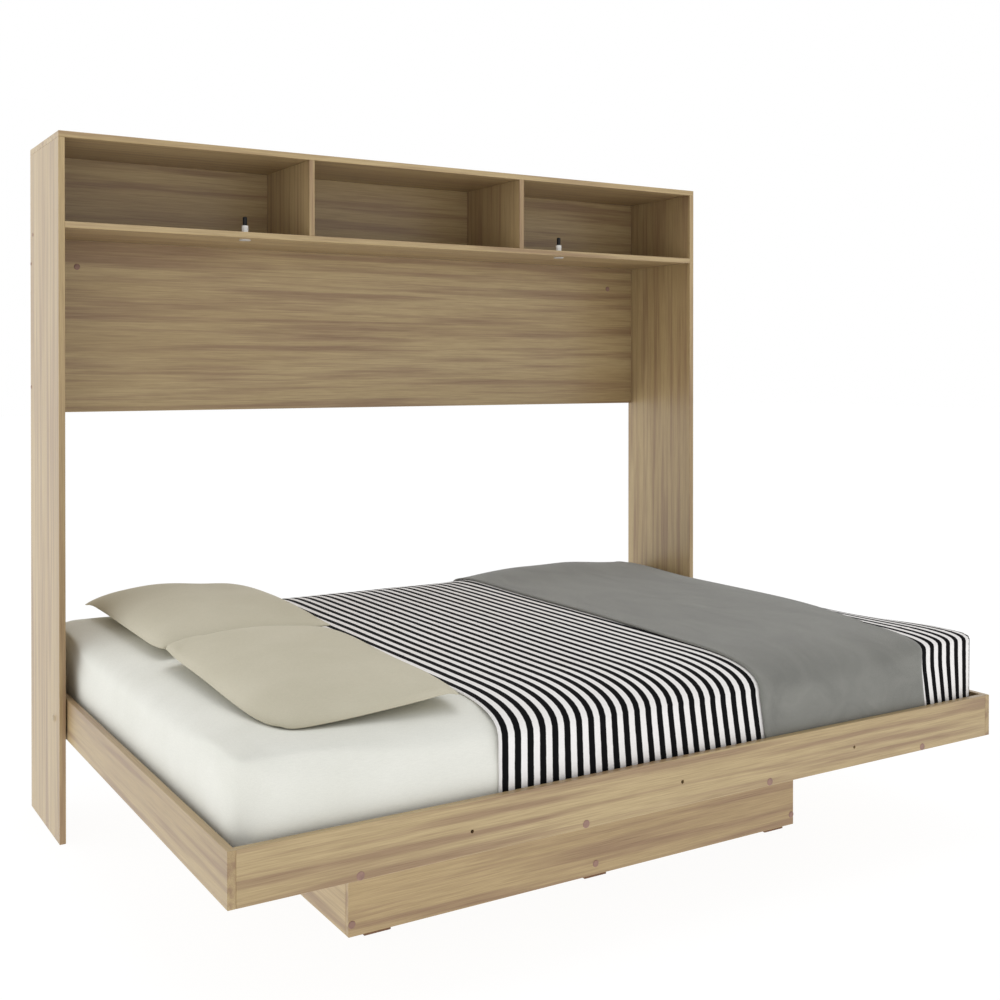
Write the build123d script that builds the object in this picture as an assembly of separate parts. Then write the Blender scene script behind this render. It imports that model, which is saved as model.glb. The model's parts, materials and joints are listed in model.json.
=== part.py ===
from build123d import *
import os

# A wall bed that folds down sideways from a shallow cabinet with a row of niches on top.
# Millimetres. +X runs along the wall, the room is at -Y, +Z is up. The origin is on the
# floor, in the middle of the object with the bed folded down.

# Boards and the clearances that they share
BOARD = 15.0
EDGE_EASE = 0.8
RUNNING_CLEARANCE = 0.05
PRESS_CLEARANCE = 0.02
SOFT_CLEARANCE = 0.3

# Mattress, and the bed frame that is built round it
MATTRESS_LENGTH = 1880.0
MATTRESS_WIDTH = 1380.0
MATTRESS_HEIGHT = 235.0
MATTRESS_CORNER = 60.0
MATTRESS_GAP = 10.0
RAIL_HEIGHT = 98.0
RIDE_HEIGHT = 248.0
PULL_HOLE_DIAMETER = 8.0
BRACKET_LEG = 40.0
BRACKET_HEIGHT = 50.0
BRACKET_THICKNESS = 2.0
DOWEL_DIAMETER = 8.0
DOWEL_LENGTH = 40.0
DOWEL_COUNT = 3

# Fold: the pivot's place in the frame, and the gaps round the bed when it is shut
PIVOT_HEIGHT = 44.0
SHUT_FLOOR_GAP = 45.0
SHUT_HEAD_GAP = 6.0
SHUT_INSET = 11.5
SIDE_GAP = 3.5
PIVOT_DIAMETER = 10.0
PIVOT_HEAD_DIAMETER = 20.0
PIVOT_HEAD_HEIGHT = 4.0
SPACER_DIAMETER = 26.0
BUSH_DIAMETER = 14.0
BUSH_FLANGE_DIAMETER = 20.0
BUSH_FLANGE = 1.5
NUT_ACROSS_FLATS = 17.0
NUT_THICKNESS = 5.0
BOLT_TIP = 0.7

# Cabinet
CABINET_DEPTH = 322.0
NICHE_HEIGHT = 201.5
DIVIDER_OFFSET = 331.0
BACK_DROP = 453.0
WALL_HOLE_DIAMETER = 8.0
WALL_HOLE_OFFSET = 869.0
WALL_HOLE_DROP = 69.0

# Screw caps
CAP_DIAMETER = 16.0
CAP_HEIGHT = 1.0
SIDE_CAP_DIAMETER = 10.0
SHELF_SCREW_SETBACK = 292.0
BACK_SCREW_TOP_DROP = 66.0
BACK_SCREW_BOTTOM_RISE = 67.0

# Push latches through the shelf
LATCH_OFFSET = 498.0
LATCH_SETBACK = 54.0
LATCH_TRAVEL = 18.0
PIN_DIAMETER = 6.0
STRIKE_CLEARANCE = 0.5
SLEEVE_DIAMETER = 17.0
SLEEVE_HEIGHT = 22.0
SPIGOT_DIAMETER = 11.0
KNOB_DIAMETER = 11.5
KNOB_HEIGHT = 23.0
KNOB_BEVEL = 1.5
KNOB_ENTRY = 1.0
LATCH_PLATE_DIAMETER = 30.0
LATCH_PLATE = 2.0

# Plinth that carries the front of the bed
PLINTH_LENGTH = 1216.0
PLINTH_SETBACK = 301.5
PLINTH_DEPTH = 300.0
GLIDE_LENGTH = 60.0
GLIDE_WIDTH = 13.0
GLIDE_HEIGHT = 4.5
GLIDE_INSET = 65.0
PLINTH_CAP_INSET = 25.0

# Bedding
SPREAD_THICKNESS = 3.0
SPREAD_START = 512.0
HEM_DROP = 40.0
THROW_THICKNESS = 4.0
THROW_FOOT_INSET = 174.0
THROW_WIDTH = 515.0
THROW_FLARE_HEAD = 5.0
THROW_FLARE_FOOT = 110.0
PILLOW_LENGTH = 650.0
PILLOW_WIDTH = 440.0
PILLOW_HEIGHT = 105.0
PILLOW_HEAD_INSET = 290.0
FRONT_PILLOW_Y = -300.0
REAR_PILLOW_Y = 366.0
FRONT_PILLOW_TURN = -3.5
PILLOW_SIDE_STEPS = 4
PILLOW_DRAW = 16.0

# Sizes that follow from the ones above
bed_length = MATTRESS_LENGTH + 2 * MATTRESS_GAP + 2 * BOARD
bed_depth = MATTRESS_WIDTH + 2 * MATTRESS_GAP + 2 * BOARD
rail_top = RIDE_HEIGHT + RAIL_HEIGHT
base_top = RIDE_HEIGHT + BOARD
inner_width = bed_length + 2 * SIDE_GAP
cabinet_width = inner_width + 2 * BOARD

pivot_z = RIDE_HEIGHT + PIVOT_HEIGHT
pivot_setback = SHUT_INSET + PIVOT_HEIGHT
reach = bed_depth - (pivot_z - SHUT_FLOOR_GAP)
shelf_under = pivot_z + reach + SHUT_HEAD_GAP
shelf_top = shelf_under + BOARD
top_under = shelf_top + NICHE_HEIGHT
cabinet_height = top_under + BOARD

overall_depth = CABINET_DEPTH - pivot_setback + reach + CAP_HEIGHT
cabinet_back = overall_depth / 2
cabinet_front = cabinet_back - CABINET_DEPTH
back_face = cabinet_back - BOARD
pivot_y = cabinet_front + pivot_setback
bed_front = pivot_y - reach
bed_rear = bed_front + bed_depth
bed_middle = bed_front + bed_depth / 2
back_bottom = shelf_under - BACK_DROP
rail_span = bed_length / 2 - BOARD

mattress_bottom = base_top + SOFT_CLEARANCE
mattress_top = mattress_bottom + MATTRESS_HEIGHT
mattress_head = -MATTRESS_LENGTH / 2
mattress_foot = MATTRESS_LENGTH / 2

latch_y = cabinet_front + LATCH_SETBACK
strike_z = pivot_z + LATCH_SETBACK - pivot_setback
plinth_front = bed_front + PLINTH_SETBACK
plinth_rear = plinth_front + PLINTH_DEPTH


def box_between(low, high):
    """A block between two opposite corners."""
    size = [b - a for a, b in zip(low, high)]
    middle = [(a + b) / 2 for a, b in zip(low, high)]
    return Pos(*middle) * Box(*size)


def board(low, high):
    """A board between two opposite corners, with its edges eased."""
    return chamfer(box_between(low, high).edges(), EDGE_EASE)


def rod_x(start, end, y, z, diameter):
    """A round bar along X."""
    return Pos((start + end) / 2, y, z) * Rot(0, 90, 0) * Cylinder(diameter / 2, end - start)


def rod_y(x, start, end, z, diameter):
    """A round bar along Y."""
    return Pos(x, (start + end) / 2, z) * Rot(90, 0, 0) * Cylinder(diameter / 2, end - start)


def rod_z(x, y, start, end, diameter):
    """A round bar along Z."""
    return Pos(x, y, (start + end) / 2) * Cylinder(diameter / 2, end - start)


def turned(outline):
    """A solid of revolution about Z from its (radius, height) corners."""
    corners = [(radius, 0, height) for radius, height in outline]
    return revolve(make_face(Polyline(*corners, close=True)), Axis.Z)


def to_right(shape):
    """The right-hand copy of a left-hand piece."""
    return mirror(shape, Plane.YZ)


def cap(diameter):
    """A low screw cap with a sloping rim that stands on Z = 0."""
    radius = diameter / 2
    return turned([(0, 0), (radius, 0), (radius - CAP_HEIGHT, CAP_HEIGHT), (0, CAP_HEIGHT)])


# Cabinet boards
def side_panel():
    """Left upright: full depth, from the floor to the top board, drilled for the pivot bolt."""
    outer = -cabinet_width / 2
    panel = board((outer, cabinet_front, 0), (outer + BOARD, cabinet_back, top_under))
    hole = PIVOT_DIAMETER + 2 * RUNNING_CLEARANCE
    return panel - rod_x(outer - BOARD, outer + 2 * BOARD, pivot_y, pivot_z, hole)


def top_panel():
    """Top board, laid over both uprights."""
    half = cabinet_width / 2
    return board((-half, cabinet_front, top_under), (half, cabinet_back, cabinet_height))


def shelf_panel():
    """Shelf under the niches, drilled for the two latches."""
    half = inner_width / 2
    shelf = board((-half, cabinet_front, shelf_under), (half, back_face, shelf_top))
    hole = SPIGOT_DIAMETER + 2 * PRESS_CLEARANCE
    for x in (-LATCH_OFFSET, LATCH_OFFSET):
        shelf -= rod_z(x, latch_y, shelf_under - BOARD, shelf_top + BOARD, hole)
    return shelf


def divider():
    """Left upright between two niches."""
    middle = -DIVIDER_OFFSET
    half = BOARD / 2
    return board((middle - half, cabinet_front, shelf_top), (middle + half, back_face, top_under))


def back_panel():
    """Back board behind the niches and the upper part of the bed, with two wall-fixing holes."""
    half = inner_width / 2
    panel = board((-half, back_face, back_bottom), (half, cabinet_back, top_under))
    hole_z = shelf_under - WALL_HOLE_DROP
    for x in (-WALL_HOLE_OFFSET, WALL_HOLE_OFFSET):
        panel -= rod_y(x, back_face - BOARD, cabinet_back + BOARD, hole_z, WALL_HOLE_DIAMETER)
    return panel


def side_caps():
    """Caps over the screws that hold the shelf and the back board to the left upright."""
    middle_of_back = cabinet_back - BOARD / 2
    places = [
        (cabinet_front + SHELF_SCREW_SETBACK, shelf_under + BOARD / 2),
        (middle_of_back, shelf_under - BACK_SCREW_TOP_DROP),
        (middle_of_back, back_bottom + BACK_SCREW_BOTTOM_RISE),
    ]
    face = Rot(0, -90, 0) * cap(SIDE_CAP_DIAMETER)
    return Compound(children=[Pos(-cabinet_width / 2, y, z) * face for y, z in places])


# Pivots
nut_start = BOARD + SIDE_GAP + BOARD + BUSH_FLANGE + SOFT_CLEARANCE


def at_pivot(shape):
    """Lays a piece turned about Z along the left pivot, with Z = 0 at the upright's outer face."""
    return Pos(-cabinet_width / 2, pivot_y, pivot_z) * Rot(0, 90, 0) * shape


def pivot_bolt():
    """Bolt through the upright and the end rail, with a low domed head outside."""
    head = PIVOT_HEAD_DIAMETER / 2
    shank = PIVOT_DIAMETER / 2
    length = nut_start + NUT_THICKNESS + BOLT_TIP
    crown = 0.6 * head
    outline = [(0, -PIVOT_HEAD_HEIGHT), (crown, -PIVOT_HEAD_HEIGHT), (head, 0), (shank, 0)]
    outline += [(shank, length), (0, length)]
    return at_pivot(turned(outline))


def pivot_spacer():
    """Ring that keeps the end rail off the upright."""
    thickness = SIDE_GAP - SOFT_CLEARANCE
    bore = PIVOT_DIAMETER + 2 * RUNNING_CLEARANCE
    ring = rod_z(0, 0, BOARD, BOARD + thickness, SPACER_DIAMETER)
    return at_pivot(ring - rod_z(0, 0, 0, 2 * BOARD + SIDE_GAP, bore))


def pivot_bush():
    """Flanged bush pressed into the end rail, running on the bolt."""
    start = BOARD + SIDE_GAP
    end = start + BOARD
    body = BUSH_DIAMETER / 2
    flange = BUSH_FLANGE_DIAMETER / 2
    bore = PIVOT_DIAMETER / 2 + RUNNING_CLEARANCE
    outline = [(bore, start), (body, start), (body, end), (flange, end)]
    outline += [(flange, end + BUSH_FLANGE), (bore, end + BUSH_FLANGE)]
    return at_pivot(turned(outline))


def pivot_nut():
    """Thin lock nut on the bolt's inner end."""
    hexagon = RegularPolygon(NUT_ACROSS_FLATS / 2, 6, major_radius=False)
    nut = Pos(0, 0, nut_start) * extrude(hexagon, NUT_THICKNESS)
    bore = PIVOT_DIAMETER + 2 * PRESS_CLEARANCE
    return at_pivot(nut - rod_z(0, 0, 0, nut_start + 2 * NUT_THICKNESS, bore))


# Latches
def at_latch(shape):
    """Puts a piece turned about Z on the left latch's axis, with Z = 0 on top of the shelf."""
    return Pos(-LATCH_OFFSET, latch_y, shelf_top) * shape


def latch_sleeve():
    """Sleeve on the shelf: a cup for the knob over a narrower spigot that fills the shelf's hole."""
    outer = SLEEVE_DIAMETER / 2
    spigot = SPIGOT_DIAMETER / 2
    bore = PIN_DIAMETER / 2 + RUNNING_CLEARANCE
    cup = KNOB_DIAMETER / 2 + RUNNING_CLEARANCE
    floor = SLEEVE_HEIGHT - LATCH_TRAVEL - 2 * KNOB_ENTRY
    outline = [(bore, -BOARD), (spigot, -BOARD), (spigot, 0), (outer, 0)]
    outline += [(outer, SLEEVE_HEIGHT), (cup, SLEEVE_HEIGHT), (cup, floor), (bore, floor)]
    return at_latch(turned(outline))


def latch_plate():
    """Round wear plate under the shelf."""
    bore = PIN_DIAMETER + 2 * RUNNING_CLEARANCE
    plate = rod_z(0, 0, -BOARD - LATCH_PLATE, -BOARD, LATCH_PLATE_DIAMETER)
    return at_latch(plate - rod_z(0, 0, -2 * BOARD, 0, bore))


def latch_knob():
    """Push knob with a bevelled top, guided by the sleeve's cup."""
    radius = KNOB_DIAMETER / 2
    bottom = SLEEVE_HEIGHT - KNOB_ENTRY
    top = SLEEVE_HEIGHT + KNOB_HEIGHT
    outline = [(0, bottom), (radius, bottom), (radius, top - KNOB_BEVEL)]
    outline += [(radius - KNOB_BEVEL, top), (0, top)]
    return at_latch(turned(outline))


def latch_pin():
    """Steel pin under the knob. Its tip is flush with the wear plate while the latch is up."""
    tip = -BOARD - LATCH_PLATE
    return at_latch(rod_z(0, 0, tip, SLEEVE_HEIGHT - KNOB_ENTRY, PIN_DIAMETER))


# Bed frame
def front_rail():
    """Front rail between the end rails, with a pull hole and the two latch holes."""
    low = (-rail_span, bed_front, RIDE_HEIGHT)
    rail = board(low, (rail_span, bed_front + BOARD, rail_top))
    start = bed_front - BOARD
    end = bed_front + 2 * BOARD
    rail -= rod_y(0, start, end, RIDE_HEIGHT + RAIL_HEIGHT / 2, PULL_HOLE_DIAMETER)
    for x in (-LATCH_OFFSET, LATCH_OFFSET):
        rail -= rod_y(x, start, end, strike_z, PIN_DIAMETER + 2 * STRIKE_CLEARANCE)
    return rail


def rear_rail():
    """Rear rail between the end rails."""
    low = (-rail_span, bed_rear - BOARD, RIDE_HEIGHT)
    return board(low, (rail_span, bed_rear, rail_top))


def end_rail():
    """Left end rail over the bed's full depth, bored for the pivot bush."""
    outer = -bed_length / 2
    rail = board((outer, bed_front, RIDE_HEIGHT), (outer + BOARD, bed_rear, rail_top))
    hole = BUSH_DIAMETER + 2 * PRESS_CLEARANCE
    return rail - rod_x(outer - BOARD, outer + 2 * BOARD, pivot_y, pivot_z, hole)


def dowel_places():
    """Y of each dowel along the seam of the base."""
    pitch = (bed_depth - 2 * BOARD) / DOWEL_COUNT
    first = bed_front + BOARD + pitch / 2
    return [first + i * pitch for i in range(DOWEL_COUNT)]


def base_panel():
    """Left half of the base that carries the mattress, drilled along its seam."""
    low = (-rail_span, bed_front + BOARD, RIDE_HEIGHT)
    panel = board(low, (0, bed_rear - BOARD, base_top))
    middle = RIDE_HEIGHT + BOARD / 2
    depth = DOWEL_LENGTH / 2 + SOFT_CLEARANCE
    for y in dowel_places():
        panel -= rod_x(-depth, depth, y, middle, DOWEL_DIAMETER + 2 * RUNNING_CLEARANCE)
    return panel


def base_dowels():
    """Wooden dowels that line up the two halves of the base."""
    half = DOWEL_LENGTH / 2
    middle = RIDE_HEIGHT + BOARD / 2
    return Compound(children=[rod_x(-half, half, y, middle, DOWEL_DIAMETER) for y in dowel_places()])


def corner_brackets():
    """Steel angles inside the four corners of the frame."""
    leg = BRACKET_LEG
    wall = BRACKET_THICKNESS
    corners = [(0, 0), (leg, 0), (leg, wall), (wall, wall), (wall, leg), (0, leg)]
    angle = extrude(make_face(Polyline(*corners, close=True)), BRACKET_HEIGHT)
    bottom = base_top + (RAIL_HEIGHT - BOARD - BRACKET_HEIGHT) / 2
    front = Pos(-rail_span, bed_front + BOARD, bottom) * angle
    rear = mirror(front, Plane.XZ.offset(-bed_middle))
    left = [front, rear]
    return Compound(children=left + [to_right(bracket) for bracket in left])


def screw_columns():
    """X of the four screws that hold the base to each long rail."""
    return [bed_length * (eighth / 8 - 0.5) for eighth in (1, 3, 5, 7)]


def front_rail_caps():
    """Caps over the base screws in the front rail."""
    face = Rot(90, 0, 0) * cap(CAP_DIAMETER)
    z = RIDE_HEIGHT + CAP_DIAMETER / 2
    return Compound(children=[Pos(x, bed_front, z) * face for x in screw_columns()])


def rear_rail_caps():
    """Caps over the base screws in the rear rail."""
    face = Rot(-90, 0, 0) * cap(CAP_DIAMETER)
    z = RIDE_HEIGHT + CAP_DIAMETER / 2
    return Compound(children=[Pos(x, bed_rear, z) * face for x in screw_columns()])


# Plinth
web_middles = (-PLINTH_LENGTH / 2 + BOARD / 2, 0, PLINTH_LENGTH / 2 - BOARD / 2)


def plinth_front_panel():
    """Front board of the plinth. With the bed shut it lies level and serves as a shelf."""
    half = PLINTH_LENGTH / 2
    low = (-half, plinth_front, GLIDE_HEIGHT)
    return board(low, (half, plinth_front + BOARD, RIDE_HEIGHT))


def plinth_web(middle):
    """Upright web behind the plinth's front board."""
    half = BOARD / 2
    low = (middle - half, plinth_front + BOARD, GLIDE_HEIGHT)
    return board(low, (middle + half, plinth_rear, RIDE_HEIGHT))


def plinth_glides():
    """Low glides under the plinth's front board."""
    middle_y = plinth_front + BOARD / 2
    outer = PLINTH_LENGTH / 2 - GLIDE_INSET
    half_length = GLIDE_LENGTH / 2
    half_width = GLIDE_WIDTH / 2
    glide = board((-half_length, -half_width, 0), (half_length, half_width, GLIDE_HEIGHT))
    return Compound(children=[Pos(x, middle_y, 0) * glide for x in (-outer, 0, outer)])


def plinth_caps():
    """Caps over the screws that hold the plinth's front board to its webs."""
    face = Rot(90, 0, 0) * cap(CAP_DIAMETER)
    rows = (GLIDE_HEIGHT + PLINTH_CAP_INSET, RIDE_HEIGHT - PLINTH_CAP_INSET)
    return Compound(children=[Pos(x, plinth_front, z) * face for x in web_middles for z in rows])


# Bedding
MATTRESS_FOOT_EDGE = [(20, 0), (0, 22)]
MATTRESS_TOP_EDGE = [(0, 60), (6, 36), (22, 21), (60, 10), (120, 3), (220, 0)]


def mattress_form(grow):
    """Mattress with rounded edges and a crowned top, made larger all round by grow.

    Each pair in the edge lists is how far a level is drawn in, and how far it lies
    above the bottom or below the crown.
    """
    levels = [(inset, mattress_bottom + rise) for inset, rise in MATTRESS_FOOT_EDGE]
    levels += [(inset, mattress_top + grow - drop) for inset, drop in MATTRESS_TOP_EDGE]
    sections = []
    for inset, z in levels:
        length = MATTRESS_LENGTH + 2 * (grow - inset)
        width = MATTRESS_WIDTH + 2 * (grow - inset)
        sections.append(Pos(0, bed_middle, z) * RectangleRounded(length, width, MATTRESS_CORNER))
    return loft(sections, ruled=True)


def cover(inside, thickness, outline):
    """Cloth of a given thickness over the mattress, cut to a plan outline and tucked in the frame."""
    hem = rail_top - HEM_DROP
    reach_up = mattress_top + MATTRESS_HEIGHT - hem
    cut = Pos(0, 0, hem) * extrude(make_face(Polyline(*outline, close=True)), reach_up)
    return (mattress_form(inside + thickness) & cut) - mattress_form(inside)


def bedspread():
    """Bedspread from below the pillows to the foot of the bed."""
    hem = mattress_head + SPREAD_START
    outline = [(hem, bed_front), (bed_length, bed_front), (bed_length, bed_rear), (hem, bed_rear)]
    return cover(SOFT_CLEARANCE, SPREAD_THICKNESS, outline)


def throw():
    """Throw across the bed over the spread, a little wider at the wall."""
    foot = mattress_foot - THROW_FOOT_INSET
    head = foot - THROW_WIDTH
    outline = [
        (head, bed_front),
        (foot, bed_front),
        (foot + THROW_FLARE_FOOT, bed_rear),
        (head - THROW_FLARE_HEAD, bed_rear),
    ]
    return cover(2 * SOFT_CLEARANCE + SPREAD_THICKNESS, THROW_THICKNESS, outline)


def pillow_outline(scale, z):
    """Points of the pillow's four-cornered outline, whose sides are drawn in towards their middles."""
    x = scale * PILLOW_WIDTH / 2
    y = scale * PILLOW_LENGTH / 2
    draw = PILLOW_DRAW / (PILLOW_LENGTH / 2)
    steps = [2 * i / PILLOW_SIDE_STEPS - 1 for i in range(PILLOW_SIDE_STEPS)]
    front = [(x * step, y * (draw * (1 - step**2) - 1)) for step in steps]
    right = [(x * (1 - draw * (1 - step**2)), y * step) for step in steps]
    half = front + right
    return [(px, py, z) for px, py in half] + [(-px, -py, z) for px, py in half]


def panel_between(points):
    """A flat panel inside a row of points."""
    return make_face(Polyline(*points, close=True)).face()


# Outline's scale and share of the height at each level of a pillow, from the bottom up
PILLOW_LEVELS = [
    (0.72, 0.00),
    (0.87, 0.08),
    (1.00, 0.30),
    (0.90, 0.56),
    (0.76, 0.78),
    (0.58, 0.93),
    (0.38, 1.00),
]


def pillow(y, turn):
    """Pillow with a crown and drawn-in sides, closed by flat panels between its levels."""
    rings = [pillow_outline(scale, share * PILLOW_HEIGHT) for scale, share in PILLOW_LEVELS]
    panels = [panel_between(rings[0]), panel_between(rings[-1])]
    for low, high in zip(rings, rings[1:]):
        for i in range(len(low)):
            panels.append(panel_between([low[i - 1], low[i], high[i], high[i - 1]]))
    place = Pos(mattress_head + PILLOW_HEAD_INSET, bed_middle + y, mattress_top + SOFT_CLEARANCE)
    return place * Rot(0, 0, turn) * Solid(Shell(panels))


nodes = {
    "top_panel": top_panel(),
    "shelf_panel": shelf_panel(),
    "back_panel": back_panel(),
    "front_rail": front_rail(),
    "rear_rail": rear_rail(),
    "base_dowels": base_dowels(),
    "corner_brackets": corner_brackets(),
    "front_rail_caps": front_rail_caps(),
    "rear_rail_caps": rear_rail_caps(),
    "plinth_front_panel": plinth_front_panel(),
    "plinth_glides": plinth_glides(),
    "plinth_caps": plinth_caps(),
    "mattress": mattress_form(0),
    "bedspread": bedspread(),
    "throw": throw(),
    "front_pillow": pillow(FRONT_PILLOW_Y, FRONT_PILLOW_TURN),
    "rear_pillow": pillow(REAR_PILLOW_Y, 0),
}

for name, middle in zip(("left", "middle", "right"), web_middles):
    nodes[f"plinth_{name}_web"] = plinth_web(middle)

pairs = {
    "side_panel": side_panel(),
    "divider": divider(),
    "side_caps": side_caps(),
    "pivot_bolt": pivot_bolt(),
    "pivot_spacer": pivot_spacer(),
    "pivot_bush": pivot_bush(),
    "pivot_nut": pivot_nut(),
    "latch_sleeve": latch_sleeve(),
    "latch_plate": latch_plate(),
    "latch_knob": latch_knob(),
    "latch_pin": latch_pin(),
    "end_rail": end_rail(),
    "base_panel": base_panel(),
}

for name, shape in pairs.items():
    nodes[f"left_{name}"] = shape
    nodes[f"right_{name}"] = to_right(shape)

os.makedirs("parts", exist_ok=True)
for name, shape in nodes.items():
    export_step(shape, f"parts/{name}.step")
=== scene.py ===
import json
import math

import bmesh
import bpy
import numpy as np
from mathutils import Euler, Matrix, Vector, noise


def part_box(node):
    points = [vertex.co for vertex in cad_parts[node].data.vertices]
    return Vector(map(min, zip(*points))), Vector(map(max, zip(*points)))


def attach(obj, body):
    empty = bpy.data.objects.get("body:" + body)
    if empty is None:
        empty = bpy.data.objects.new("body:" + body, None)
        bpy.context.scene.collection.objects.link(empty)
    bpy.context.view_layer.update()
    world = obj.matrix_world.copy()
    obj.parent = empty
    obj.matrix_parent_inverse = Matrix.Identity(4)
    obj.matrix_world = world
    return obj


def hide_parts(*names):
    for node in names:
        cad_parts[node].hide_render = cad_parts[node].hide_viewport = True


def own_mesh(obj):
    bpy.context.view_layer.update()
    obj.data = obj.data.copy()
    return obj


# Wall bed, folded down and made up. Metres, +X along the wall, the room at -Y, +Z up.
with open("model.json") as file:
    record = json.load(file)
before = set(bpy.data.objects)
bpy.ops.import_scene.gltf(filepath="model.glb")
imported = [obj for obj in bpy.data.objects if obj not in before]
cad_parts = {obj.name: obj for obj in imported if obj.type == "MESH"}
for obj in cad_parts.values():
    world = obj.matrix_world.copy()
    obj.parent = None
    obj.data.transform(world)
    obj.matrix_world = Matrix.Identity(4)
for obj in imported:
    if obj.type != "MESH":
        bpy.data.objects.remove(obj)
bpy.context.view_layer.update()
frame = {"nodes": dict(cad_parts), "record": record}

# Shape of the made bed: the edge falls in a flat curve, then turns down. It stays squarer
# at the corners, and in part along the wall, where the covers also roll up a little.
EDGE_RUN = 0.22
EDGE_DROP = 0.06
EDGE_POWER = 2.8
EDGE_STEPS = 48
SQUARE_LIFT = 0.042
SQUARE_START = 0.18
SQUARE_LENGTH = 0.30
WALL_SQUARENESS = 0.5
WALL_START = 0.05
WALL_LENGTH = 0.15
WALL_HUMP = 0.022
HUMP_HEAD = 0.18
HUMP_FOOT = 0.90
HUMP_FADE = 0.30
HUMP_MIDDLE = 0.60
HUMP_WIDTH = 0.15

# Mattress
MATTRESS_CORNER = 0.035
MATTRESS_FOOT_ROUND = 0.022
FOOT_ROUND_STEPS = 8
MATTRESS_STEP = 0.018
MATTRESS_SHRINK = 0.004
MATTRESS_PRESSURE = 1.2
MATTRESS_FRAMES = 10
MATTRESS_SWELL = 0.0035
TUCK_DEPTH = 0.006
TUCK_WIDTH = 0.014

# Bedspread and throw. Waves: scale along the bed, scale across it, and the layer of noise they come from.
SPREAD_LIFT = 0.0004
SPREAD_CLOTH = 0.0026
SPREAD_STEP = 0.012
SPREAD_RIPPLE = 0.0018
SPREAD_WAVES = (9, 4, 1.0)
THROW_LIFT = 0.0046
THROW_CLOTH = 0.0034
THROW_STEP = 0.011
THROW_RIPPLE = 0.0022
THROW_WAVES = (7, 3, 5.0)
THROW_HEAD = 0.228
THROW_FOOT = 0.745
THROW_SWAY_HEAD = 0.026
THROW_SWAY_FOOT = 0.135
SWAY_START = 0.1
SWAY_LENGTH = 0.4
HANG_SKEW = 0.17
SKEW_HEAD_FADE = 0.6
SKEW_FOOT_FADE = 0.18
HEM_WIDTH = 0.012
HEM_RISE = 0.0009
HEM_FADE = 0.003

# Stripes: dark part, faded edge and white hem are shares of the pitch, and the rest is in metres.
STRIPE_PITCH = 0.0285
STRIPE_DARK = 0.51
STRIPE_FADE = 0.04
STRIPE_HEM = 0.22
STRIPE_SLACK = 0.03
STRIPE_WOBBLE = 0.0007

# Pillows: how the covers are made and filled
PILLOW_DRAW = 0.03
PILLOW_POWER = 2.6
PILLOW_STEP = 0.0095
PILLOW_UNEVEN = 0.25
PILLOW_WAVES = 1.6
PILLOW_LEAN_POWER = 1.5
CORNER_INSET_POWER = 8
CORNER_HANG_POWER = 3
PILLOW_PRESSURE = 2.0
PILLOW_FRAMES = 16
PILLOW_SWELL = 0.006
PILLOW_LIFT = 0.0012
PILLOW_EDGE_SHARE = 0.97

# Each pillow: its middle, turn, size at the seam, height of the cover above and below the seam, how much
# higher its end at the wall lies, how closely it follows the bed's edge, and the layer of noise that makes
# it uneven. Soft corners: side across, side along, how far the corner is drawn in, how far it hangs.
PILLOWS = {
    "front_pillow": {
        "middle": (-0.664, -0.318), "turn": math.radians(0.5), "length": 0.650, "width": 0.405,
        "rise": 0.057, "fall": 0.012, "lean": 0.030, "follow": 0.95, "layer": 2.0,
        "corners": [(-1, -1, 0.042, 0.014), (1, -1, 0.006, -0.016),
                    (-1, 1, 0.012, 0.010), (1, 1, -0.030, 0.014)],
    },
    "rear_pillow": {
        "middle": (-0.650, 0.357), "turn": 0.0, "length": 0.650, "width": 0.424,
        "rise": 0.060, "fall": 0.042, "lean": 0.0, "follow": 1.0, "layer": 9.0,
        "corners": [(-1, -1, 0.020, 0.004), (1, 1, 0.010, 0.020)],
    },
}

# Closed covers: their cloth, the distance within which points are sewn together, and the least values
# that anything is divided by
COVER_CLOTH = {
    "quality": 6, "mass": 0.25, "tension_stiffness": 18, "compression_stiffness": 18,
    "shear_stiffness": 6, "bending_stiffness": 0.4, "air_damping": 3,
}
MERGE_DISTANCE = 1e-5
LEAST_LENGTH = 1e-9
LEAST_SHARE = 1e-6

# Caps over the two wall fixings in the back panel. Rings: shares of the radius and of the height.
WALL_CAP_RADIUS = 0.008
WALL_CAP_HEIGHT = 0.001
WALL_CAP_RINGS = [(1.0, 0.0), (1.0, 0.4), (0.9, 0.8), (0.6, 1.0)]
WALL_CAP_SEGMENTS = 48
MM_PER_METRE = 1000

# Camera and light
CAMERA_PLACE = (-1.6721, -2.72885, 1.1377)
CAMERA_PITCH = -0.0055
CAMERA_TURN = -0.5517
CAMERA_LENS = 45.586
CAMERA_SHIFT_Y = -0.12251
AMBIENT = 0.68
KEY_PLACE = (-3.2, 2.4, 1.4)
KEY_POWER = 20
KEY_SIZE = 3.0
TOP_PLACE = (-0.2, -0.1, 4.4)
TOP_POWER = 38
TOP_SIZE = 2.4
LIGHT_AIM = (0, 0, 0.7)
LIGHT_COLOUR = (1, 1, 1, 1)
FLOOR_COLOUR = (0.9, 0.9, 0.9, 1)
FLOOR_SIZE = 60
FLOOR_LIGHT = 1.4
FLOOR_SHOWN = 1.06
FLOOR_WHITE = 0.88

mattress_low, mattress_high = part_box("mattress")
spread_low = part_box("bedspread")[0]
throw_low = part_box("throw")[0]
middle_y = (mattress_low.y + mattress_high.y) / 2
core_x = (mattress_high.x - mattress_low.x) / 2 - EDGE_RUN
core_y = (mattress_high.y - mattress_low.y) / 2 - EDGE_RUN


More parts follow.
